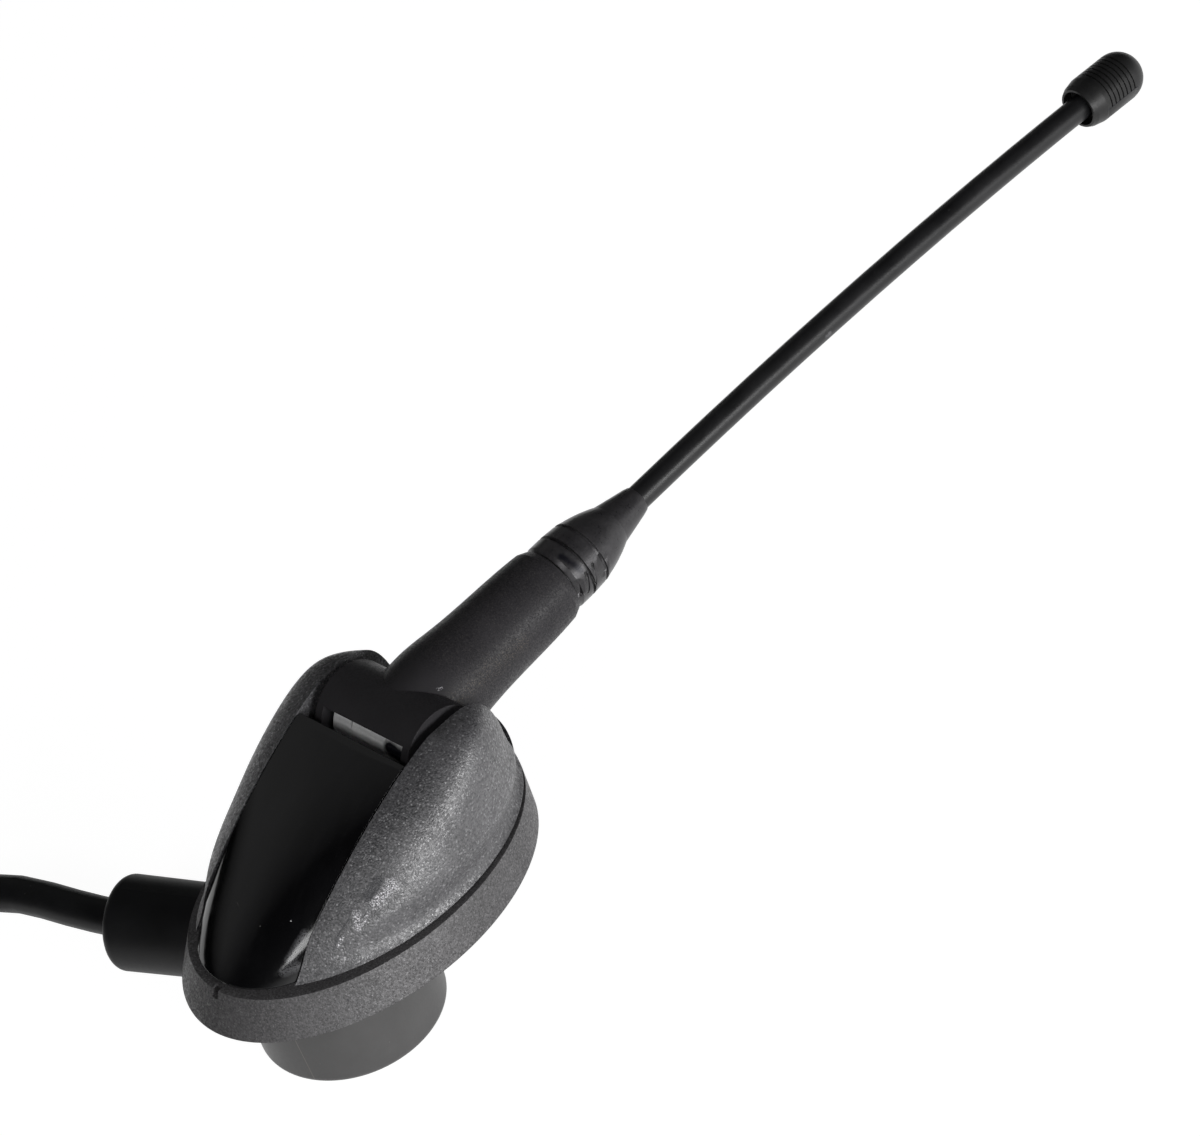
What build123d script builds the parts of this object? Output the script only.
from build123d import *
import os
from math import cos, degrees, radians, sin, sqrt, tan

# A roof antenna that bolts through a hole in a vehicle's roof. A cup clamps below the sheet
# and a rubber gasket above it. The low body carries a hinge in a slot between two cheeks, and
# the short rod antenna folds back over the roof or tilts up.
# All sizes are in millimetres. The origin is the centre of the cup's flat underside, +Z is up,
# -Y is the body's low front tip, +Y is the way the folded mast points and +X is its right.

os.makedirs("parts", exist_ok=True)

# Clearances
seat_gap = 0.05
slip_gap = 0.10
thread_gap = 0.05
hinge_gap = 0.20
moving_gap = 0.40
cover_gap = 0.25
deck_hole_gap = 0.50
cord_gap = 0.30
floor_gap = 0.10
tie_gap = 0.15
cable_bore_gap = 0.15

# Clamping cup under the roof
foot_r = 14.0
foot_top = 15.1
foot_wall = 2.0
foot_floor = 2.5
foot_edge = 1.2
pillar_r = 8.2
pillar_drop = 6.9
pillar_top = foot_top - pillar_drop
socket_r = 6.8
socket_top = 5.4
socket_chamfer = 0.6

# Fixing bolt, its washer and the thread insert
bolt_r = 3.0
bolt_hole_r = 3.2
bolt_head_af = 10.0
bolt_head_h = 4.0
bolt_chamfer = 0.5
bolt_washer_r = 6.2
bolt_washer_t = 0.8
washer_teeth = 12
tooth_gap_w = 0.9
tooth_gap_l = 1.6
insert_r = 4.15
insert_lift = 0.8
insert_l = 8.0
insert_bottom = pillar_top + insert_lift
insert_top = insert_bottom + insert_l
bolt_end_drop = 0.5
bolt_end = insert_top - bolt_end_drop

# Roof sheet's gap, and the gasket with its dish and its flare
roof_gap = 1.2
gasket_bottom = foot_top + roof_gap
gasket_sheet = 1.2
gasket_h = 5.7
gasket_top = gasket_bottom + gasket_h
gasket_rim = (0.6, 0.9)
gasket_rim_fore = 0.9
gasket_flare = (1.6, 1.4)
gasket_flare_fore = 1.6
gasket_notch_w = 1.2
gasket_notch_h = 1.2
gasket_notch_d = 0.9

# Outline of the dome, which starts at the groove above the gasket
groove_h = 0.7
groove_z = gasket_top + groove_h
dome_h = 19.6
ridge_half = 11.3
cheek_w = 8.4
cheek_power = 3.2
crown_y = 21.6
front_reach = 33.6
front_power = 1.28
rear_reach = 11.4
rear_power = 4.5
dome_shares = (0.0, 0.22, 0.42, 0.59, 0.73, 0.84, 0.915, 0.96, 0.985, 0.997)

# Walls of the base shell
skirt_inset = 1.4
skirt_wall = 1.6
shell_wall = 2.0
shell_roof = 1.5
cavity_drop = 5.8
cavity_shares = (0.0, 0.24, 0.49, 0.75, 1.0)
cheek_wall = 1.6
slot_low_inset = 0.7
slot_high_inset = -0.1
slot_low_half = ridge_half - slot_low_inset
slot_high_half = ridge_half - slot_high_inset
cheek_inner_half = slot_high_half + cheek_wall
deck_rise = 5.9
deck_top = groove_z + deck_rise
deck_t = 2.0
boss_r = 2.2
boss_rise = 6.3
boss_top = groove_z + boss_rise

# Base plate with its spigot and neck
plate_t = 1.8
plate_bottom = gasket_bottom + gasket_sheet
plate_top = plate_bottom + plate_t
spigot_r = 11.4
spigot_lift = 0.2
spigot_bottom = foot_top + spigot_lift
neck_r = 6.5

# Hinge barrel and its pivot
pivot_aft = 2.05
pivot_rise = 13.5
pivot_y = crown_y + pivot_aft
pivot_z = groove_z + pivot_rise
mast_pitch = 2.9
barrel_r = 7.0
barrel_side_gap = 1.6
barrel_half = ridge_half - barrel_side_gap
barrel_wall = 1.0
barrel_end_wall = 1.4
barrel_room_r = barrel_r - barrel_wall
barrel_room_half = barrel_half - barrel_end_wall
barrel_end_hole_r = 4.4
window_start = 134.0
window_end = 287.0
eye_r = barrel_room_r - moving_gap
pivot_r = 2.0
pivot_head_r = 3.6
pivot_head_t = 1.4
pivot_head_sink = 0.1
pivot_key_af = 2.5
pivot_key_d = 0.9
pivot_nut_af = 6.4
pivot_nut_t = 2.0
spring_washer_r = 3.5
spring_washer_t = 0.7
spring_washer_slit = 0.6

# Hinge bracket
tang_half = 3.5
ear_outer = barrel_half - pivot_head_sink - pivot_head_t - spring_washer_t - 2 * seat_gap
ear_inner = tang_half + hinge_gap
post_fore = 3.95
post_aft = 1.55
post_front = pivot_y - post_fore
post_rear = pivot_y + post_aft
flange_half = 9.4
flange_fore = 2.1
flange_rear_gap = 1.6
flange_front = post_front - flange_fore
flange_rear = crown_y + rear_reach - flange_rear_gap
flange_corner = 1.5
flange_lift = 4.3
flange_bottom = plate_top + flange_lift
flange_t = 2.0
rib_half = 9.0
rib_t = 1.5

# Glossy cover between the cheeks, and the deck's edge that it laps
cover_rear_gap = 0.45
cover_back = pivot_y - barrel_r - cover_rear_gap
cover_low_sag = 5.8
cover_high_sag = 0.5
cover_rim = 0.85
cover_shares = (0.0, 0.22, 0.45, 0.67, 0.85, 0.95, 1.0)
cover_side_wall = 2.0
cover_front_wall = 2.2
cover_back_wall = 1.8
cover_room_rim = 3.2
cover_room_shares = (0.0, 0.3, 0.6, 0.85, 1.0)
deck_front = cover_back - cover_back_wall

# Small screws
plate_screw_side_inset = 3.3
plate_screw_aft = 5.5
plate_screw_front_inset = 2.4
plate_screw_r = 1.0
plate_screw_head_r = 1.9
plate_screw_short = 0.3
bracket_screw_x = 6.5
bracket_screw_inset = 2.6
bracket_screw_r = 1.45
bracket_screw_head_r = 2.6
bracket_boss_r = 3.0
board_screw_x = 5.8
board_screw_inset = 2.5
board_screw_r = 0.9
board_screw_head_r = 1.7
board_screw_head_h = 1.1
board_screw_bite = 0.9
board_post_r = 1.8

# Circuit board, its chips and the feed strip
board_lift = 1.6
board_bottom = plate_top + board_lift
board_t = 1.6
board_half = 9.9
board_front_inset = 5.75
board_rear_gap = 6.6
board_rear = flange_front - board_rear_gap
board_corner = 1.0
chip_w = 5.0
chip_l = 4.4
chip_h = 1.2
chip_inset = 10.4
can_w = 3.2
can_l = 2.6
can_h = 1.6
can_x = 5.6
can_inset = 7.4
strip_t = 0.4
strip_half = 3.0
strip_foot_l = 3.5
strip_foot_inset = 0.5
strip_fore = 1.4
strip_lap = 1.8

# Cable gland on the cup
relief_angle = 202.2
relief_offset_y = 5.6
relief_z = 8.0
relief_low_r = 6.7
relief_high_r = 7.15
relief_start = 4.0
relief_end = 40.2
relief_edge = 1.6
relief_neck_r = 4.6
relief_neck_out = 3.0
relief_neck_start = foot_r - foot_wall
relief_neck_end = foot_r + relief_neck_out
cable_r = 2.85
cable_entry = 7.0
cable_start = relief_end - cable_entry

# Inner lead from the gland up to the board
lead_r = 0.75
lead_entry = 2.5
lead_start = relief_neck_start + lead_entry
lead_turn = 9.9
lead_hole_r = 1.1

# Free cable, from the gland to the coil
cable_floor_z = cable_r + floor_gap
cable_straight = 2.0
cable_out = (-64.0, -15.2)
cable_down = (-77.25, -33.3)
cable_end = (-73.1, -103.2)

# Coil of the lead's unseen length, its tie and the short end to the plug
coil_centre = (-27.3, -100.5)
coil_first_r = 22.75
coil_turns_low = 4
coil_turns_high = 2
coil_bottom = 0.9
coil_nest_angle = 60.0
tie_angle = 295.0
tie_half_w = 2.0
tie_t = 0.7
lead_end_start = -97.2

# Plug on the lead's far end
plug_grip_start = -77.2
plug_grip_l = 20.0
plug_grip_low_r = 3.9
plug_grip_r = 5.2
plug_grip_taper = 6.0
plug_grip_edge = 0.8
plug_grip_ribs = 4
plug_grip_rib_first = 2.0
plug_grip_rib_pitch = 2.0
plug_grip_rib_w = 1.0
plug_grip_rib_d = 0.4
plug_entry = 5.0
plug_shell_r = 4.5
plug_shell_wall = 0.5
plug_shell_l = 17.0
plug_shell_floor = 3.0
plug_slots = 4
plug_slot_w = 0.8
plug_slot_l = 11.0
plug_insulator_l = 6.0
plug_pin_r = 1.5
plug_pin_root_r = 1.75
plug_pin_tip = 1.2
plug_pin_out = 11.0

# Mast: sleeve, core, stud and ferrule, along the mast from the pivot
sleeve_end = 32.2
sleeve_profile = [(0.143, 7.2), (0.242, 7.39), (0.432, 6.95), (0.64, 6.6), (0.87, 6.33), (0.963, 6.1)]
sleeve_root = 1.5
sleeve_end_r = 5.6
core_r = 4.4
core_start = 6.1
core_short = 0.8
core_end = sleeve_end - core_short
slab_half = 2.6
slab_end = 7.0
socket_start = 14.5
stud_short = 0.5
stud_r = 2.45
stud_start = socket_start + stud_short
stud_flange_r = 4.3
stud_flange_t = 1.1
stud_l = 7.45
stud_flange_start = core_end + seat_gap
stud_flange_end = stud_flange_start + stud_flange_t
stud_top = stud_flange_end + stud_l
ferrule_l = 18.2
ferrule_start = stud_flange_end + seat_gap
ferrule_tip = ferrule_start + ferrule_l
ferrule_tip_r = 2.15
ferrule_shoulder = (0.7, 2.35)
ferrule_nose = (5.9, 3.4)
ferrule_bell = (11.0, 5.05)
ferrule_bell_slope = -0.2
ferrule_foot_r = 5.0
ferrule_r = 5.5
ferrule_chamfer = 0.7
ferrule_grooves = [(2.7, 0.55, 0.6), (5.6, 0.5, 0.6)]
ferrule_waist_r = 5.3

# Whip with its bow, and the rubber cap on its tip
whip_r = 1.95
whip_core_r = 1.0
whip_core_bite = 4.0
whip_core_start = stud_top - whip_core_bite
whip_straight = 1.2
whip_bend_start = ferrule_tip + whip_straight
whip_bend_r = 930.0
jacket_l = 101.6
jacket_start = ferrule_tip + slip_gap
jacket_end = jacket_start + jacket_l
whip_core_out = 5.5
whip_core_end = jacket_end + whip_core_out
cap_bite = 2.3
cap_start = jacket_end - cap_bite
cap_l = 13.1
cap_r = 3.95
cap_mouth_r = 3.6
cap_mouth_bore_r = 2.9
cap_mouth_depth = 1.8
cap_mouth_edge = 0.7
cap_skirt_l = 2.4
cap_grooves = 7
cap_groove_first = 3.4
cap_groove_pitch = 0.88
cap_groove_w = 0.26
cap_groove_d = 0.26


def dome_section(z):
    """Half width, half length and centre y of the dome's elliptic outline at a height."""
    u = (z - groove_z) / dome_h
    half_x = ridge_half + cheek_w * (1 - u**cheek_power) ** (1 / cheek_power)
    front = ridge_front(z)
    rear = crown_y + rear_reach * (1 - u**rear_power) ** (1 / rear_power)
    half_y = (rear - front) / 2 / sqrt(1 - (ridge_half / half_x) ** 2)
    return half_x, half_y, (front + rear) / 2


def ridge_front(z):
    """Y of the ridge that climbs from the front tip to the crown, at a height."""
    u = max(z - groove_z, 0) / dome_h
    return crown_y - front_reach * (1 - u**front_power) ** (1 / front_power)


def ridge_height(y):
    """Height at which the ridge passes a given y."""
    share = (crown_y - y) / front_reach
    return groove_z + dome_h * (1 - share**front_power) ** (1 / front_power)


def slot_half(z):
    """Half width at a height of the slot between the cheeks, which opens upwards."""
    return slot_low_half + (slot_high_half - slot_low_half) * (z - groove_z) / dome_h


def cover_sag(z):
    """How far the cover bulges in front of the ridges at a height."""
    return cover_low_sag + (cover_high_sag - cover_low_sag) * (z - groove_z) / (cover_top - groove_z)


def arc_radii(points):
    """Radius of each arc of a cord: 0.45 of its shorter run over the tangent of half its turn."""
    radii = []
    for before, corner, after in zip(points, points[1:], points[2:]):
        run_in = Vector(*corner) - Vector(*before)
        run_out = Vector(*after) - Vector(*corner)
        half_turn = radians(run_in.get_angle(run_out) / 2)
        radii.append(0.45 * min(run_in.length, run_out.length) / tan(half_turn))
    return radii


def relief_point(t, z=relief_z):
    """Point at distance t along the gland's axis, which leaves the cup to the front left."""
    return (t * cos(radians(relief_angle)), relief_offset_y + t * sin(radians(relief_angle)), z)


def whip_point(s):
    """Position of the whip's axis in the mast's plane at distance s from the pivot."""
    bend = max(s - whip_bend_start, 0) / whip_bend_r
    straight = min(s, whip_bend_start)
    return (straight + whip_bend_r * sin(bend), whip_bend_r * (cos(bend) - 1))


# Heights and places that follow from the dome's outline
shell_low_x, shell_low_y, dome_y = dome_section(groove_z)
skirt_half = (shell_low_x - skirt_inset, shell_low_y - skirt_inset)
skirt_front = dome_y - skirt_half[1]
gasket_high_half = (shell_low_x + gasket_rim[0], shell_low_y + gasket_rim[1])
gasket_high_y = dome_y - gasket_rim_fore
gasket_low_half = (gasket_high_half[0] + gasket_flare[0], gasket_high_half[1] + gasket_flare[1])
gasket_low_y = gasket_high_y - gasket_flare_fore
cover_top = ridge_height(cover_back - cover_rim)
cover_room_top = ridge_height(cover_back - cover_back_wall - cover_room_rim - cover_front_wall)
plate_screw_side = (skirt_half[0] - plate_screw_side_inset, dome_y + plate_screw_aft)
plate_screw_places = [(-plate_screw_side[0], plate_screw_side[1]), plate_screw_side,
                      (0.0, skirt_front + plate_screw_front_inset)]
plate_screw_end = groove_z - plate_screw_short
bracket_screw_y = flange_rear - bracket_screw_inset
bracket_screw_places = [(-bracket_screw_x, bracket_screw_y), (bracket_screw_x, bracket_screw_y)]
board_front = skirt_front + skirt_wall + board_front_inset
board_screw_y = board_front + board_screw_inset
board_screw_places = [(-board_screw_x, board_screw_y), (board_screw_x, board_screw_y)]
board_screw_end = plate_top - board_screw_bite
board_rest_y = board_rear - board_screw_inset
board_rest_places = [(-board_screw_x, board_rest_y), (board_screw_x, board_rest_y)]
can_places = [(-can_x, board_rear - can_inset), (can_x, board_rear - can_inset)]
strip_foot = (board_rear - strip_foot_inset - strip_foot_l, board_rear - strip_foot_inset)
strip_rise = flange_front - strip_fore
strip_rear = flange_front + strip_lap

# Planes and axes that several pieces share
up = Vector(0, 0, 1)
relief_dir = Vector(cos(radians(relief_angle)), sin(radians(relief_angle)), 0)
relief_axis = Axis(relief_point(0), relief_dir)
relief_profile = Plane(origin=relief_point(0), x_dir=relief_dir, z_dir=relief_dir.cross(up))
mast_dir = Vector(0, cos(radians(mast_pitch)), sin(radians(mast_pitch)))
pivot = Vector(0, pivot_y, pivot_z)
mast_axis = Axis(pivot, mast_dir)
mast_plane = Plane(origin=pivot, x_dir=mast_dir, z_dir=(1, 0, 0))
pivot_plane = Plane(origin=pivot, x_dir=(0, 1, 0), z_dir=(1, 0, 0))


# Clamping cup: a turned bowl with a hollow pillar that the bolt passes through
with BuildPart() as foot_cup:
    with BuildSketch(Plane.XZ):
        with BuildLine():
            Polyline(
                (bolt_hole_r, socket_top),
                (socket_r, socket_top),
                (socket_r, socket_chamfer),
                (socket_r + socket_chamfer, 0),
                (foot_r, 0),
                (foot_r, foot_top),
                (foot_r - foot_wall, foot_top),
                (foot_r - foot_wall, foot_floor),
                (pillar_r, foot_floor),
                (pillar_r, pillar_top),
                (bolt_hole_r, pillar_top),
                close=True,
            )
        make_face()
    revolve(axis=Axis.Z)
    fillet(foot_cup.edges().filter_by(GeomType.CIRCLE).group_by(Axis.Z)[0].sort_by(SortBy.RADIUS)[-1],
           foot_edge)
    with BuildSketch(Plane(origin=relief_point(relief_neck_start - foot_wall / 2),
                           z_dir=relief_dir)):
        Circle(relief_neck_r + slip_gap)
    extrude(amount=foot_r, mode=Mode.SUBTRACT)
foot_cup.part.label = "foot_cup"

# Fixing bolt, hex head down in the cup's recess
bolt_head_top = socket_top - bolt_washer_t
with BuildPart() as fixing_bolt:
    with BuildSketch(Plane.XY.offset(bolt_head_top - bolt_head_h)):
        RegularPolygon(bolt_head_af / 2, 6, major_radius=False)
    extrude(amount=bolt_head_h)
    with BuildSketch(Plane.XY.offset(bolt_head_top)):
        Circle(bolt_r)
    extrude(amount=bolt_end - bolt_head_top)
    chamfer(fixing_bolt.faces().sort_by(Axis.Z)[-1].edges(), bolt_chamfer)
fixing_bolt.part.label = "fixing_bolt"

# Toothed washer under the bolt's head
with BuildPart() as toothed_washer:
    with BuildSketch(Plane.XY.offset(bolt_head_top)):
        Circle(bolt_washer_r)
        Circle(bolt_hole_r, mode=Mode.SUBTRACT)
        with PolarLocations(bolt_washer_r, washer_teeth):
            Rectangle(tooth_gap_l, tooth_gap_w, mode=Mode.SUBTRACT)
    extrude(amount=bolt_washer_t)
toothed_washer.part.label = "toothed_washer"

# Brass thread insert in the base plate's neck
with BuildPart() as thread_insert:
    with BuildSketch(Plane.XY.offset(insert_bottom)):
        Circle(insert_r)
        Circle(bolt_r + thread_gap, mode=Mode.SUBTRACT)
    extrude(amount=insert_top - insert_bottom)
thread_insert.part.label = "thread_insert"

# Rubber gasket: an oval dish that flares towards the roof and is notched at its front
with BuildPart() as roof_gasket:
    with BuildSketch(Plane.XY.offset(gasket_bottom)):
        with Locations((0, gasket_low_y)):
            Ellipse(*gasket_low_half)
    with BuildSketch(Plane.XY.offset(gasket_top)):
        with Locations((0, gasket_high_y)):
            Ellipse(*gasket_high_half)
    loft()
    with BuildSketch(Plane.XY.offset(plate_bottom)):
        with Locations((0, dome_y)):
            Ellipse(skirt_half[0] + slip_gap, skirt_half[1] + slip_gap)
    extrude(amount=gasket_top - plate_bottom, mode=Mode.SUBTRACT)
    with BuildSketch(Plane.XY.offset(gasket_bottom)):
        Circle(spigot_r + slip_gap)
    extrude(amount=gasket_sheet, mode=Mode.SUBTRACT)
    with Locations((0, gasket_high_y - gasket_high_half[1], gasket_top)):
        Box(gasket_notch_w, 2 * gasket_notch_d, 2 * gasket_notch_h, mode=Mode.SUBTRACT)
roof_gasket.part.label = "roof_gasket"

# Base plate: the oval floor of the body, with the spigot that fills the roof's hole
with BuildPart() as base_plate:
    with BuildSketch(Plane.XY.offset(plate_bottom)):
        with Locations((0, dome_y)):
            Ellipse(skirt_half[0], skirt_half[1])
    extrude(amount=plate_t)
    with BuildSketch(Plane.XY.offset(spigot_bottom)):
        Circle(spigot_r)
    extrude(amount=plate_bottom - spigot_bottom)
    with BuildSketch(Plane.XY.offset(pillar_top)):
        Circle(neck_r)
    extrude(amount=spigot_bottom - pillar_top)
    with BuildSketch(Plane.XY.offset(plate_top)):
        with Locations(*board_screw_places, *board_rest_places):
            Circle(board_post_r)
    extrude(amount=board_bottom - plate_top)
    with BuildSketch(Plane.XY.offset(plate_top)):
        with Locations(*bracket_screw_places):
            Circle(bracket_boss_r)
        with Locations((0, flange_front + rib_t / 2)):
            Rectangle(2 * rib_half, rib_t)
    extrude(amount=flange_bottom - plate_top)
    with Locations((0, 0, pillar_top)):
        Cylinder(bolt_hole_r, insert_bottom - pillar_top, mode=Mode.SUBTRACT,
                 align=(Align.CENTER, Align.CENTER, Align.MIN))
    with Locations((0, 0, insert_bottom)):
        Cylinder(insert_r + seat_gap, plate_top - insert_bottom, mode=Mode.SUBTRACT,
                 align=(Align.CENTER, Align.CENTER, Align.MIN))
    with Locations(relief_point(lead_turn, spigot_bottom)):
        Cylinder(lead_hole_r, plate_top - spigot_bottom, mode=Mode.SUBTRACT,
                 align=(Align.CENTER, Align.CENTER, Align.MIN))
    with Locations(*[(x, y, board_screw_end) for x, y in board_screw_places]):
        Cylinder(board_screw_r + thread_gap, board_bottom - board_screw_end, mode=Mode.SUBTRACT,
                 align=(Align.CENTER, Align.CENTER, Align.MIN))
    with Locations(*[(x, y, plate_bottom) for x, y in plate_screw_places]):
        Cylinder(plate_screw_r + slip_gap, plate_t, mode=Mode.SUBTRACT,
                 align=(Align.CENTER, Align.CENTER, Align.MIN))
        Cone(plate_screw_head_r + slip_gap, plate_screw_r + slip_gap,
             plate_screw_head_r - plate_screw_r, mode=Mode.SUBTRACT,
             align=(Align.CENTER, Align.CENTER, Align.MIN))
    with Locations(*[(x, y, plate_bottom) for x, y in bracket_screw_places]):
        Cylinder(bracket_screw_r + slip_gap, flange_bottom - plate_bottom, mode=Mode.SUBTRACT,
                 align=(Align.CENTER, Align.CENTER, Align.MIN))
        Cone(bracket_screw_head_r + slip_gap, bracket_screw_r + slip_gap,
             bracket_screw_head_r - bracket_screw_r, mode=Mode.SUBTRACT,
             align=(Align.CENTER, Align.CENTER, Align.MIN))
base_plate.part.label = "base_plate"

# Countersunk screws that hold the shell on the plate
with BuildPart() as plate_screws:
    with Locations(*[(x, y, plate_bottom) for x, y in plate_screw_places]):
        Cone(plate_screw_head_r, plate_screw_r, plate_screw_head_r - plate_screw_r,
             align=(Align.CENTER, Align.CENTER, Align.MIN))
        Cylinder(plate_screw_r, plate_screw_end - plate_bottom,
                 align=(Align.CENTER, Align.CENTER, Align.MIN))
plate_screws.part.label = "plate_screws"

# Countersunk screws that hold the hinge bracket on the plate
with BuildPart() as bracket_screws:
    with Locations(*[(x, y, plate_bottom) for x, y in bracket_screw_places]):
        Cone(bracket_screw_head_r, bracket_screw_r, bracket_screw_head_r - bracket_screw_r,
             align=(Align.CENTER, Align.CENTER, Align.MIN))
        Cylinder(bracket_screw_r, flange_bottom + flange_t - plate_bottom,
                 align=(Align.CENTER, Align.CENTER, Align.MIN))
bracket_screws.part.label = "bracket_screws"

# Moulded base shell: two cheeks with a slot between them, a deck and a skirt in the gasket
with BuildPart() as shell_room:
    for share in cavity_shares:
        room_z = groove_z + share * (dome_h - cavity_drop)
        room_x, room_y, room_centre = dome_section(room_z + shell_roof)
        with BuildSketch(Plane.XY.offset(room_z)):
            with Locations((0, room_centre)):
                Ellipse(room_x - shell_wall, room_y - shell_wall)
    loft()
    with Locations((0, 0, deck_top - deck_t)):
        Box(2 * cheek_inner_half, 4 * front_reach, dome_h, mode=Mode.SUBTRACT,
            align=(Align.CENTER, Align.CENTER, Align.MIN))

with BuildPart() as base_shell:
    for share in dome_shares:
        section_z = groove_z + share * dome_h
        half_x, half_y, centre_y = dome_section(section_z)
        with BuildSketch(Plane.XY.offset(section_z)):
            with Locations((0, centre_y)):
                Ellipse(half_x, half_y)
    loft()
    with BuildSketch(Plane.XY.offset(plate_top)):
        with Locations((0, dome_y)):
            Ellipse(*skirt_half)
    extrude(amount=groove_z - plate_top)
    add(shell_room.part, mode=Mode.SUBTRACT)
    with BuildSketch(Plane.XY.offset(plate_top)):
        with Locations((0, dome_y)):
            Ellipse(skirt_half[0] - skirt_wall, skirt_half[1] - skirt_wall)
    extrude(amount=groove_z - plate_top, mode=Mode.SUBTRACT)
    with Locations(*[(x, y, plate_top) for x, y in plate_screw_places]):
        Cylinder(boss_r, groove_z - plate_top, align=(Align.CENTER, Align.CENTER, Align.MIN))
    with Locations(*[(x, y, groove_z) for x, y in plate_screw_places[:2]]):
        Cylinder(boss_r, boss_top - groove_z, align=(Align.CENTER, Align.CENTER, Align.MIN))
    with BuildSketch(Plane.XZ):
        with BuildLine():
            Polyline(
                (-slot_half(deck_top), deck_top),
                (slot_half(deck_top), deck_top),
                (slot_half(groove_z + dome_h), groove_z + dome_h),
                (-slot_half(groove_z + dome_h), groove_z + dome_h),
                close=True,
            )
        make_face()
    extrude(amount=2 * front_reach, both=True, mode=Mode.SUBTRACT)
    with BuildSketch(Plane.XZ.offset(-deck_front)):
        with BuildLine():
            Polyline(
                (-slot_half(groove_z), groove_z),
                (slot_half(groove_z), groove_z),
                (slot_half(deck_top), deck_top),
                (-slot_half(deck_top), deck_top),
                close=True,
            )
        make_face()
    extrude(amount=2 * front_reach, mode=Mode.SUBTRACT)
    with BuildSketch(Plane.XY.offset(deck_top)):
        with Locations((0, (post_front + post_rear) / 2)):
            Rectangle(2 * (ear_outer + deck_hole_gap), post_rear - post_front + 2 * deck_hole_gap)
    extrude(amount=-deck_t, mode=Mode.SUBTRACT)
    with Locations(*[(x, y, plate_top) for x, y in plate_screw_places]):
        Cylinder(plate_screw_r + thread_gap, groove_z - plate_top, mode=Mode.SUBTRACT,
                 align=(Align.CENTER, Align.CENTER, Align.MIN))
base_shell.part.label = "base_shell"


def cover_section(z, side, front, back):
    """The cover's outline at a height, moved in by the given wall thicknesses."""
    half = slot_half(z) - cover_gap - side
    corner_y = ridge_front(z) + front
    with BuildSketch(Plane.XY.offset(z)) as section:
        with BuildLine():
            ThreePointArc((-half, corner_y), (0, corner_y - cover_sag(z)), (half, corner_y))
            Polyline((half, corner_y), (half, cover_back - back), (-half, cover_back - back),
                     (-half, corner_y))
        make_face()
    return section.sketch


# Glossy cover that closes the front between the cheeks
cover_bottom = groove_z + seat_gap
with BuildPart() as centre_cover:
    cover_heights = [cover_bottom + share * (cover_top - cover_bottom) for share in cover_shares]
    loft([cover_section(z, 0, 0, 0) for z in cover_heights])
    room_heights = [cover_bottom + share * (cover_room_top - cover_bottom)
                    for share in cover_room_shares]
    loft([cover_section(z, cover_side_wall, cover_front_wall, cover_back_wall)
          for z in room_heights], mode=Mode.SUBTRACT)
    with Locations((0, deck_front - slip_gap, cover_bottom)):
        Box(4 * ridge_half, 2 * (cover_back - deck_front), deck_top + seat_gap - cover_bottom,
            mode=Mode.SUBTRACT, align=(Align.CENTER, Align.MIN, Align.MIN))
centre_cover.part.label = "centre_cover"

# Hinge bracket: a cast flange with two ears that stand up through the deck
with BuildPart() as hinge_bracket:
    with BuildSketch(Plane.XY.offset(flange_bottom)):
        with Locations((0, (flange_front + flange_rear) / 2)):
            RectangleRounded(2 * flange_half, flange_rear - flange_front, flange_corner)
        with Locations(*bracket_screw_places):
            Circle(bracket_screw_r + thread_gap, mode=Mode.SUBTRACT)
    extrude(amount=flange_t)
    for ear_x in (-ear_outer, ear_inner):
        with BuildSketch(Plane(origin=(ear_x, 0, 0), x_dir=(0, 1, 0), z_dir=(1, 0, 0))):
            with Locations((pivot_y, pivot_z)):
                Circle(eye_r)
            with Locations(((post_front + post_rear) / 2, flange_bottom)):
                Rectangle(post_rear - post_front, pivot_z - flange_bottom,
                          align=(Align.CENTER, Align.MIN))
            with Locations((pivot_y, pivot_z)):
                Circle(pivot_r + thread_gap, mode=Mode.SUBTRACT)
        extrude(amount=ear_outer - ear_inner)
hinge_bracket.part.label = "hinge_bracket"

# Pivot screw with a washer under its head and a thin nut on its far end
head_inner = -ear_outer - seat_gap - spring_washer_t - seat_gap
with BuildPart() as pivot_screw:
    with BuildSketch(pivot_plane.offset(head_inner)):
        Circle(pivot_head_r)
    extrude(amount=-pivot_head_t)
    with BuildSketch(pivot_plane.offset(head_inner)):
        Circle(pivot_r)
    extrude(amount=barrel_half - head_inner)
    with BuildSketch(pivot_plane.offset(head_inner - pivot_head_t)):
        RegularPolygon(pivot_key_af / 2, 6, major_radius=False)
    extrude(amount=pivot_key_d, mode=Mode.SUBTRACT)
pivot_screw.part.label = "pivot_screw"

with BuildPart() as spring_washer:
    with BuildSketch(pivot_plane.offset(-ear_outer - seat_gap)):
        Circle(spring_washer_r)
        Circle(pivot_r + thread_gap, mode=Mode.SUBTRACT)
        Rectangle(2 * spring_washer_r, spring_washer_slit, mode=Mode.SUBTRACT,
                  align=(Align.MIN, Align.CENTER))
    extrude(amount=-spring_washer_t)
spring_washer.part.label = "spring_washer"

with BuildPart() as pivot_nut:
    with BuildSketch(pivot_plane.offset(ear_outer + seat_gap)):
        RegularPolygon(pivot_nut_af / 2, 6, major_radius=False)
        Circle(pivot_r + thread_gap, mode=Mode.SUBTRACT)
    extrude(amount=pivot_nut_t)
pivot_nut.part.label = "pivot_nut"

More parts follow.
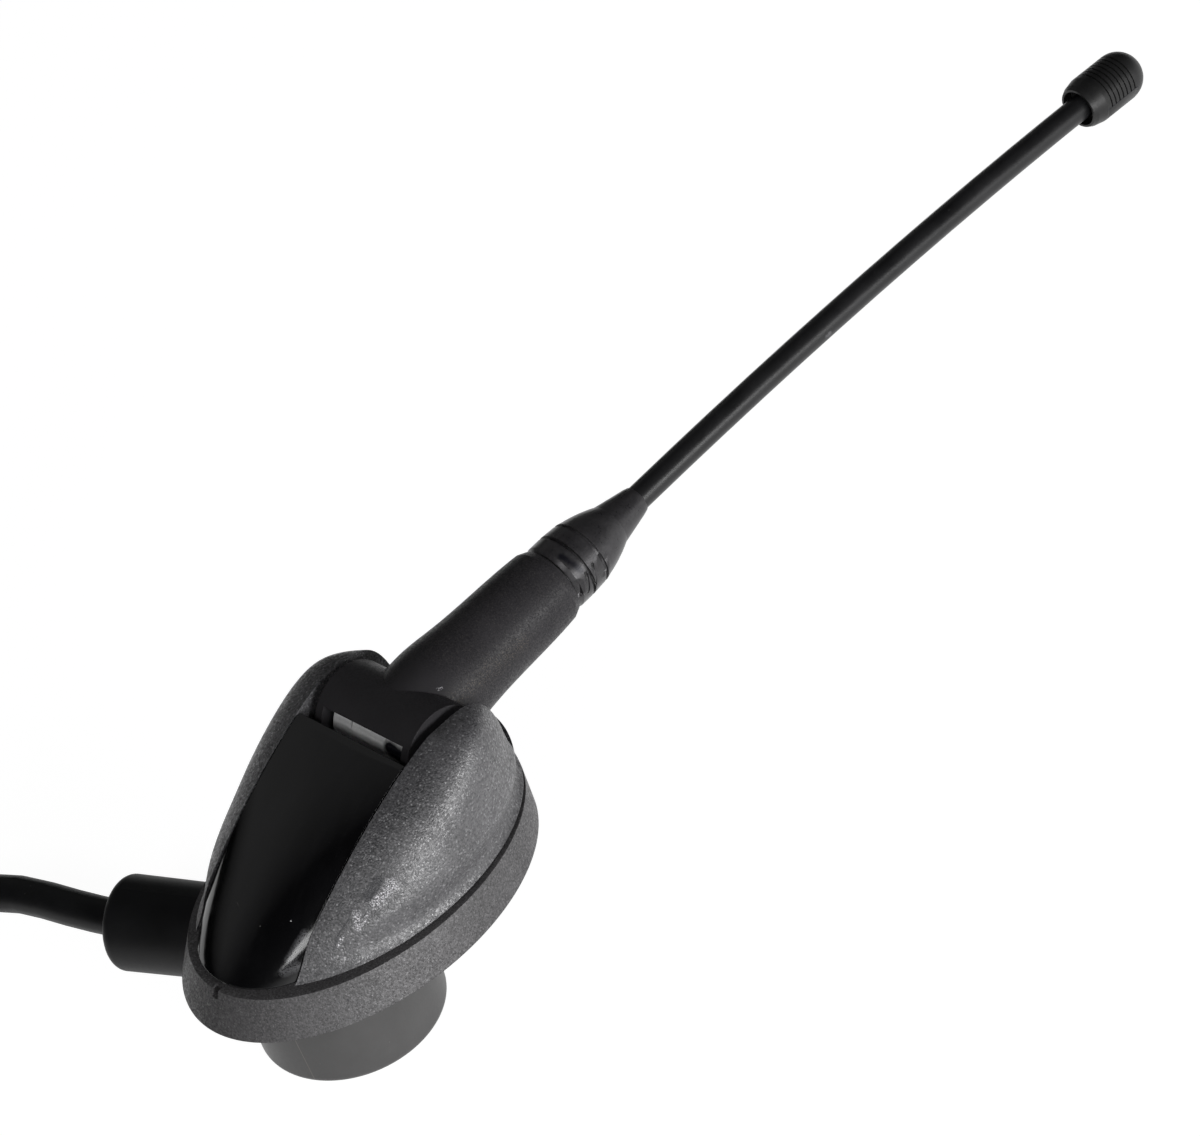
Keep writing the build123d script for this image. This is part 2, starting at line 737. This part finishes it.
# Circuit board with its chips, and the screws that hold it
board_top = board_bottom + board_t
with BuildPart() as circuit_board:
    with BuildSketch(Plane.XY.offset(board_bottom)):
        with Locations((0, (board_front + board_rear) / 2)):
            RectangleRounded(2 * board_half, board_rear - board_front, board_corner)
        with Locations(*board_screw_places):
            Circle(board_screw_r + slip_gap, mode=Mode.SUBTRACT)
    extrude(amount=board_t)
    with BuildSketch(Plane.XY.offset(board_top)):
        with Locations((0, board_rear - chip_inset)):
            Rectangle(chip_w, chip_l)
    extrude(amount=chip_h)
    with BuildSketch(Plane.XY.offset(board_top)):
        with Locations(*can_places):
            Rectangle(can_w, can_l)
    extrude(amount=can_h)
circuit_board.part.label = "circuit_board"

with BuildPart() as board_screws:
    with Locations(*[(x, y, board_top) for x, y in board_screw_places]):
        Cylinder(board_screw_head_r, board_screw_head_h,
                 align=(Align.CENTER, Align.CENTER, Align.MIN))
        Cylinder(board_screw_r, board_top - board_screw_end,
                 align=(Align.CENTER, Align.CENTER, Align.MAX))
board_screws.part.label = "board_screws"

# Feed strip: a bent spring strip from the board to the bracket's flange
flange_top = flange_bottom + flange_t
with BuildPart() as feed_strip:
    with BuildSketch(Plane(origin=(-strip_half, 0, 0), x_dir=(0, 1, 0), z_dir=(1, 0, 0))):
        with BuildLine():
            Polyline(
                (strip_foot[0], board_top),
                (strip_foot[1], board_top),
                (strip_rise, flange_top),
                (strip_rear, flange_top),
                (strip_rear, flange_top + strip_t),
                (strip_rise - strip_t / 2, flange_top + strip_t),
                (strip_foot[1] - strip_t / 2, board_top + strip_t),
                (strip_foot[0], board_top + strip_t),
                close=True,
            )
        make_face()
    extrude(amount=2 * strip_half)
feed_strip.part.label = "feed_strip"

# Inner lead: from the gland, up through the plate, to the board
lead_route = [relief_point(lead_start), relief_point(lead_turn),
              relief_point(lead_turn, board_bottom - seat_gap)]
lead_radii = arc_radii(lead_route)
with BuildPart() as inner_lead:
    with BuildLine():
        FilletPolyline(*lead_route, radius=lead_radii)
    with BuildSketch(Plane(origin=lead_route[0], z_dir=-relief_dir)):
        Circle(lead_r)
    sweep()
inner_lead.part.label = "inner_lead"

# Cable gland: a moulded sleeve that meets the cup's wall and plugs into its side port
with BuildPart() as strain_relief:
    with BuildSketch(relief_profile):
        with BuildLine():
            Polyline(
                (relief_start, 0),
                (relief_start, relief_low_r),
                (relief_end, relief_high_r),
                (relief_end, 0),
                close=True,
            )
        make_face()
    revolve(axis=relief_axis)
    fillet(strain_relief.faces().sort_by(relief_axis)[-1].edges(), relief_edge)
    with Locations((0, 0, relief_z)):
        Cylinder(foot_r + seat_gap, 4 * relief_low_r, mode=Mode.SUBTRACT)
    with BuildSketch(Plane(origin=relief_point(relief_neck_start), z_dir=relief_dir)):
        Circle(relief_neck_r)
    extrude(amount=relief_neck_end - relief_neck_start)
    with BuildSketch(Plane(origin=relief_point(relief_neck_start), z_dir=relief_dir)):
        Circle(lead_r + slip_gap)
    extrude(amount=lead_start + seat_gap - relief_neck_start, mode=Mode.SUBTRACT)
    with BuildSketch(Plane(origin=relief_point(relief_end), z_dir=-relief_dir)):
        Circle(cable_r + cable_bore_gap)
    extrude(amount=relief_end - cable_start + seat_gap, mode=Mode.SUBTRACT)
strain_relief.part.label = "strain_relief"

# Free cable, from inside the gland down to the surface beside the coil
cable_route = [relief_point(cable_start), relief_point(relief_end + cable_straight),
               (*cable_out, relief_z), (*cable_down, cable_floor_z), (*cable_end, cable_floor_z)]
cable_radii = arc_radii(cable_route)
with BuildPart() as cable:
    with BuildLine():
        FilletPolyline(*cable_route, radius=cable_radii)
    with BuildSketch(Plane(origin=cable_route[0], z_dir=relief_dir)):
        Circle(cable_r)
    sweep()
cable.part.label = "cable"

# Coil of the put-away length, in two layers of turns, as the solid that the turns fill
turn_pitch = 2 * cable_r
coil_low_z = coil_bottom + cable_r
coil_high_z = coil_low_z + turn_pitch * sin(radians(coil_nest_angle))
coil_last_r = coil_first_r + (coil_turns_low - 1) * turn_pitch
coil_high_first_r = coil_first_r + turn_pitch / 2
coil_high_last_r = coil_high_first_r + (coil_turns_high - 1) * turn_pitch
coil_axis = Axis((*coil_centre, 0), (0, 0, 1))


def coil_outline(plane, grow):
    """The outline round all turns of the coil, at one place of it, grown by a distance."""
    with BuildSketch(plane) as outline:
        with BuildLine():
            Polyline((coil_first_r, coil_low_z), (coil_last_r, coil_low_z),
                     (coil_high_last_r, coil_high_z), (coil_high_first_r, coil_high_z),
                     close=True)
        make_face()
        offset(amount=cable_r + grow)
    return outline.sketch


with BuildPart() as cable_coil:
    coil_plane = Plane(origin=(*coil_centre, 0), x_dir=(1, 0, 0), z_dir=(0, -1, 0))
    revolve(coil_outline(coil_plane, 0), axis=coil_axis)
cable_coil.part.label = "cable_coil"

# Tie round the coil
tie_out = Vector(cos(radians(tie_angle)), sin(radians(tie_angle)), 0)
tie_plane = Plane(origin=(*coil_centre, 0), x_dir=tie_out, z_dir=tie_out.cross(up))
with BuildPart() as coil_tie:
    extrude(coil_outline(tie_plane, tie_gap + tie_t), amount=tie_half_w, both=True)
    extrude(coil_outline(tie_plane, tie_gap), amount=2 * tie_half_w, both=True,
            mode=Mode.SUBTRACT)
coil_tie.part.label = "coil_tie"

# Short end of the lead and the plug, which lie beside the coil
plug_x = coil_centre[0] + coil_last_r + cable_r + cord_gap + cable_r
plug_z = plug_grip_r + floor_gap
plug_axis = Axis((plug_x, 0, plug_z), (0, 1, 0))
plug_grip_end = plug_grip_start + plug_grip_l


def plug_plane(y):
    """Plane across the plug's axis at y, facing the pin's tip."""
    return Plane(origin=(plug_x, y, plug_z), x_dir=(1, 0, 0), z_dir=(0, 1, 0))


with BuildPart() as lead_end:
    with BuildSketch(plug_plane(lead_end_start)):
        Circle(cable_r)
    extrude(amount=plug_grip_start + plug_entry - seat_gap - lead_end_start)
lead_end.part.label = "lead_end"

with BuildPart() as plug_grip:
    with BuildSketch(Plane(origin=(plug_x, plug_grip_start, plug_z), x_dir=(0, 1, 0),
                           z_dir=(0, 0, -1))):
        with BuildLine():
            Polyline(
                (0, 0),
                (0, plug_grip_low_r),
                (plug_grip_taper, plug_grip_r),
                (plug_grip_l, plug_grip_r),
                (plug_grip_l, 0),
                close=True,
            )
        make_face()
        for rib in range(plug_grip_ribs):
            rib_y = plug_grip_taper + plug_grip_rib_first + rib * plug_grip_rib_pitch
            with Locations((rib_y, plug_grip_r)):
                Rectangle(plug_grip_rib_w, 2 * plug_grip_rib_d, mode=Mode.SUBTRACT)
    revolve(axis=plug_axis)
    fillet(plug_grip.faces().sort_by(Axis.Y)[-1].edges(), plug_grip_edge)
    with BuildSketch(plug_plane(plug_grip_start)):
        Circle(cable_r + cable_bore_gap)
    extrude(amount=plug_entry, mode=Mode.SUBTRACT)
plug_grip.part.label = "plug_grip"

# Plug's metal shell, slotted so that it springs into its socket
shell_end = plug_grip_end + plug_shell_l
with BuildPart() as plug_shell:
    with BuildSketch(plug_plane(plug_grip_end)):
        Circle(plug_shell_r)
    extrude(amount=plug_shell_l)
    with BuildSketch(plug_plane(plug_grip_end + plug_shell_floor)):
        Circle(plug_shell_r - plug_shell_wall)
    extrude(amount=plug_shell_l - plug_shell_floor, mode=Mode.SUBTRACT)
    with BuildSketch(plug_plane(shell_end)):
        with PolarLocations(plug_shell_r, plug_slots):
            Rectangle(4 * plug_shell_wall, plug_slot_w)
    extrude(amount=-plug_slot_l, mode=Mode.SUBTRACT)
    with BuildSketch(plug_plane(plug_grip_end)):
        Circle(plug_pin_root_r + slip_gap)
    extrude(amount=plug_shell_floor, mode=Mode.SUBTRACT)
plug_shell.part.label = "plug_shell"

with BuildPart() as plug_insulator:
    with BuildSketch(plug_plane(plug_grip_end + plug_shell_floor)):
        Circle(plug_shell_r - plug_shell_wall - slip_gap)
        Circle(plug_pin_root_r + slip_gap, mode=Mode.SUBTRACT)
    extrude(amount=plug_insulator_l)
plug_insulator.part.label = "plug_insulator"

with BuildPart() as plug_pin:
    with BuildSketch(plug_plane(plug_grip_end + seat_gap)):
        Circle(plug_pin_root_r)
    extrude(amount=plug_shell_l - seat_gap)
    with BuildSketch(plug_plane(shell_end)):
        Circle(plug_pin_r)
    extrude(amount=plug_pin_out)
    fillet(plug_pin.faces().sort_by(Axis.Y)[-1].edges(), plug_pin_tip)
plug_pin.part.label = "plug_pin"

# Pivot arm: the moulded barrel and sleeve of the mast, open in front where the ears stand
sleeve_root_r = sqrt(barrel_r**2 - sleeve_root**2)
sleeve_points = [(share * sleeve_end, radius) for share, radius in sleeve_profile]
with BuildPart() as pivot_arm:
    with BuildSketch(mast_plane):
        with BuildLine():
            Line((sleeve_root, 0), (sleeve_root, sleeve_root_r))
            Spline((sleeve_root, sleeve_root_r), *sleeve_points)
            Polyline(sleeve_points[-1], (sleeve_end, sleeve_end_r), (sleeve_end, 0),
                     (sleeve_root, 0))
        make_face()
    revolve(axis=mast_axis)
    with BuildSketch(mast_plane):
        Circle(barrel_r)
    extrude(amount=barrel_half, both=True)
    with BuildSketch(mast_plane):
        Circle(barrel_room_r)
    extrude(amount=barrel_room_half, both=True, mode=Mode.SUBTRACT)
    with BuildSketch(mast_plane):
        Circle(barrel_end_hole_r)
    extrude(amount=2 * barrel_half, both=True, mode=Mode.SUBTRACT)
    with BuildSketch(mast_plane):
        window_spread = (window_end - window_start) / 3
        with BuildLine():
            Polyline(
                (0, 0),
                *[(2 * barrel_r * cos(radians(window_start + step * window_spread)),
                   2 * barrel_r * sin(radians(window_start + step * window_spread)))
                  for step in range(4)],
                close=True,
            )
        make_face()
    extrude(amount=barrel_room_half, both=True, mode=Mode.SUBTRACT)
    with BuildSketch(Plane(origin=pivot + mast_dir * barrel_end_hole_r, x_dir=(1, 0, 0),
                           z_dir=mast_dir)):
        Circle(core_r + seat_gap)
    extrude(amount=sleeve_end, mode=Mode.SUBTRACT)
pivot_arm.part.label = "pivot_arm"

# Arm core: the metal tang between the ears and the stem that takes the mast's stud
with BuildPart() as arm_core:
    with BuildSketch(mast_plane):
        Circle(eye_r)
        Rectangle(slab_end, 2 * slab_half, align=(Align.MIN, Align.CENTER))
    extrude(amount=tang_half, both=True)
    with BuildSketch(Plane(origin=pivot + mast_dir * core_start, x_dir=(1, 0, 0), z_dir=mast_dir)):
        Circle(core_r)
    extrude(amount=core_end - core_start)
    with BuildSketch(mast_plane):
        Circle(pivot_r + thread_gap)
    extrude(amount=2 * tang_half, both=True, mode=Mode.SUBTRACT)
    with BuildSketch(Plane(origin=pivot + mast_dir * socket_start, x_dir=(1, 0, 0),
                           z_dir=mast_dir)):
        Circle(stud_r + thread_gap)
    extrude(amount=core_end - socket_start, mode=Mode.SUBTRACT)
arm_core.part.label = "arm_core"

# Mast stud: screws into the arm and carries the ferrule and the whip
spigot_top_r = stud_r - seat_gap
with BuildPart() as mast_stud:
    with BuildSketch(mast_plane):
        with BuildLine():
            Polyline(
                (stud_start, 0),
                (stud_start, stud_r),
                (stud_flange_start, stud_r),
                (stud_flange_start, stud_flange_r),
                (stud_flange_end, stud_flange_r),
                (stud_flange_end, spigot_top_r),
                (stud_top, spigot_top_r),
                (stud_top, whip_core_r + seat_gap),
                (whip_core_start - seat_gap, whip_core_r + seat_gap),
                (whip_core_start - seat_gap, 0),
                close=True,
            )
        make_face()
    revolve(axis=mast_axis)
mast_stud.part.label = "mast_stud"

# Ferrule: a turned bell with two ring grooves that closes to the whip
bell_point = (ferrule_tip - ferrule_bell[0], ferrule_bell[1])
nose_point = (ferrule_tip - ferrule_nose[0], ferrule_nose[1])
groove_ends = [ferrule_start + groove_s + groove_w for groove_s, _, groove_w in ferrule_grooves]
with BuildPart() as mast_ferrule:
    with BuildSketch(mast_plane):
        with BuildLine():
            Polyline(
                (ferrule_start, spigot_top_r + seat_gap),
                (ferrule_start, ferrule_foot_r),
                (ferrule_start + ferrule_chamfer, ferrule_r),
                (groove_ends[0], ferrule_r),
                (groove_ends[1], ferrule_waist_r),
                bell_point,
            )
            TangentArc(bell_point, nose_point, tangent=(1, ferrule_bell_slope))
            Polyline(
                nose_point,
                (ferrule_tip - ferrule_shoulder[0], ferrule_shoulder[1]),
                (ferrule_tip, ferrule_tip_r),
                (ferrule_tip, whip_core_r + slip_gap),
                (stud_top + slip_gap, whip_core_r + slip_gap),
                (stud_top + slip_gap, spigot_top_r + seat_gap),
                (ferrule_start, spigot_top_r + seat_gap),
            )
        make_face()
        for groove_s, groove_d, groove_w in ferrule_grooves:
            with Locations((ferrule_start + groove_s + groove_w / 2, ferrule_r)):
                Rectangle(groove_w, 2 * groove_d, mode=Mode.SUBTRACT)
    revolve(axis=mast_axis)
mast_ferrule.part.label = "mast_ferrule"


def whip_path(start, end):
    """The whip's axis between two distances from the pivot, straight and then bowed down."""
    with BuildLine(mast_plane) as path:
        Line((start, 0), (whip_bend_start, 0))
        JernArc((whip_bend_start, 0), (1, 0), whip_bend_r,
                -degrees((end - whip_bend_start) / whip_bend_r))
    return path.line


# Whip: a sprung core in a plastic jacket, bowed slightly by its own set
with BuildPart() as whip_core:
    with BuildSketch(Plane(origin=pivot + mast_dir * whip_core_start, z_dir=mast_dir)):
        Circle(whip_core_r)
    sweep(path=whip_path(whip_core_start, whip_core_end))
whip_core.part.label = "whip_core"

with BuildPart() as whip_jacket:
    with BuildSketch(Plane(origin=pivot + mast_dir * jacket_start, z_dir=mast_dir)):
        Circle(whip_r)
        Circle(whip_core_r + seat_gap, mode=Mode.SUBTRACT)
    sweep(path=whip_path(jacket_start, jacket_end))
whip_jacket.part.label = "whip_jacket"

# Rubber cap with ring grooves on the whip's tip
cap_middle = cap_start + cap_l / 2
cap_turn = (cap_middle - whip_bend_start) / whip_bend_r
cap_x, cap_y = whip_point(cap_middle)
cap_dir = Vector(0, cos(radians(mast_pitch) - cap_turn), sin(radians(mast_pitch) - cap_turn))
cap_origin = mast_plane.from_local_coords(Vector(cap_x, cap_y, 0)) - cap_dir * (cap_l / 2)
cap_axis = Axis(cap_origin, cap_dir)
cap_dome_start = cap_l - cap_r
with BuildPart() as tip_cap:
    with BuildSketch(Plane(origin=cap_origin, x_dir=cap_dir, z_dir=(1, 0, 0))):
        with BuildLine():
            Polyline(
                (cap_mouth_depth, whip_r + slip_gap),
                (cap_mouth_depth, cap_mouth_bore_r),
                (0, cap_mouth_bore_r),
                (0, cap_mouth_r - cap_mouth_edge / 2),
                (cap_mouth_edge, cap_mouth_r),
                (cap_skirt_l, cap_r),
                (cap_dome_start, cap_r),
            )
            RadiusArc((cap_dome_start, cap_r), (cap_l, 0), cap_r)
            Polyline(
                (cap_l, 0),
                (whip_core_end - cap_start + slip_gap, 0),
                (whip_core_end - cap_start + slip_gap, whip_core_r + slip_gap),
                (jacket_end - cap_start + slip_gap, whip_core_r + slip_gap),
                (jacket_end - cap_start + slip_gap, whip_r + slip_gap),
                (cap_mouth_depth, whip_r + slip_gap),
            )
        make_face()
        for ring in range(cap_grooves):
            with Locations((cap_groove_first + ring * cap_groove_pitch, cap_r)):
                Rectangle(cap_groove_w, 2 * cap_groove_d, mode=Mode.SUBTRACT)
    revolve(axis=cap_axis)
tip_cap.part.label = "tip_cap"

print("inner lead arc radii", [round(radius, 2) for radius in lead_radii])
print("cable arc radii", [round(radius, 1) for radius in cable_radii])

pieces = [
    foot_cup, fixing_bolt, toothed_washer, thread_insert, roof_gasket, base_plate, plate_screws,
    bracket_screws, base_shell, centre_cover, hinge_bracket, pivot_screw, spring_washer, pivot_nut,
    circuit_board, board_screws, feed_strip, inner_lead, strain_relief, cable, cable_coil,
    coil_tie, lead_end, plug_grip, plug_shell, plug_insulator, plug_pin, pivot_arm, arm_core,
    mast_stud, mast_ferrule, whip_core, whip_jacket, tip_cap,
]
for piece in pieces:
    export_step(piece.part, f"parts/{piece.part.label}.step")
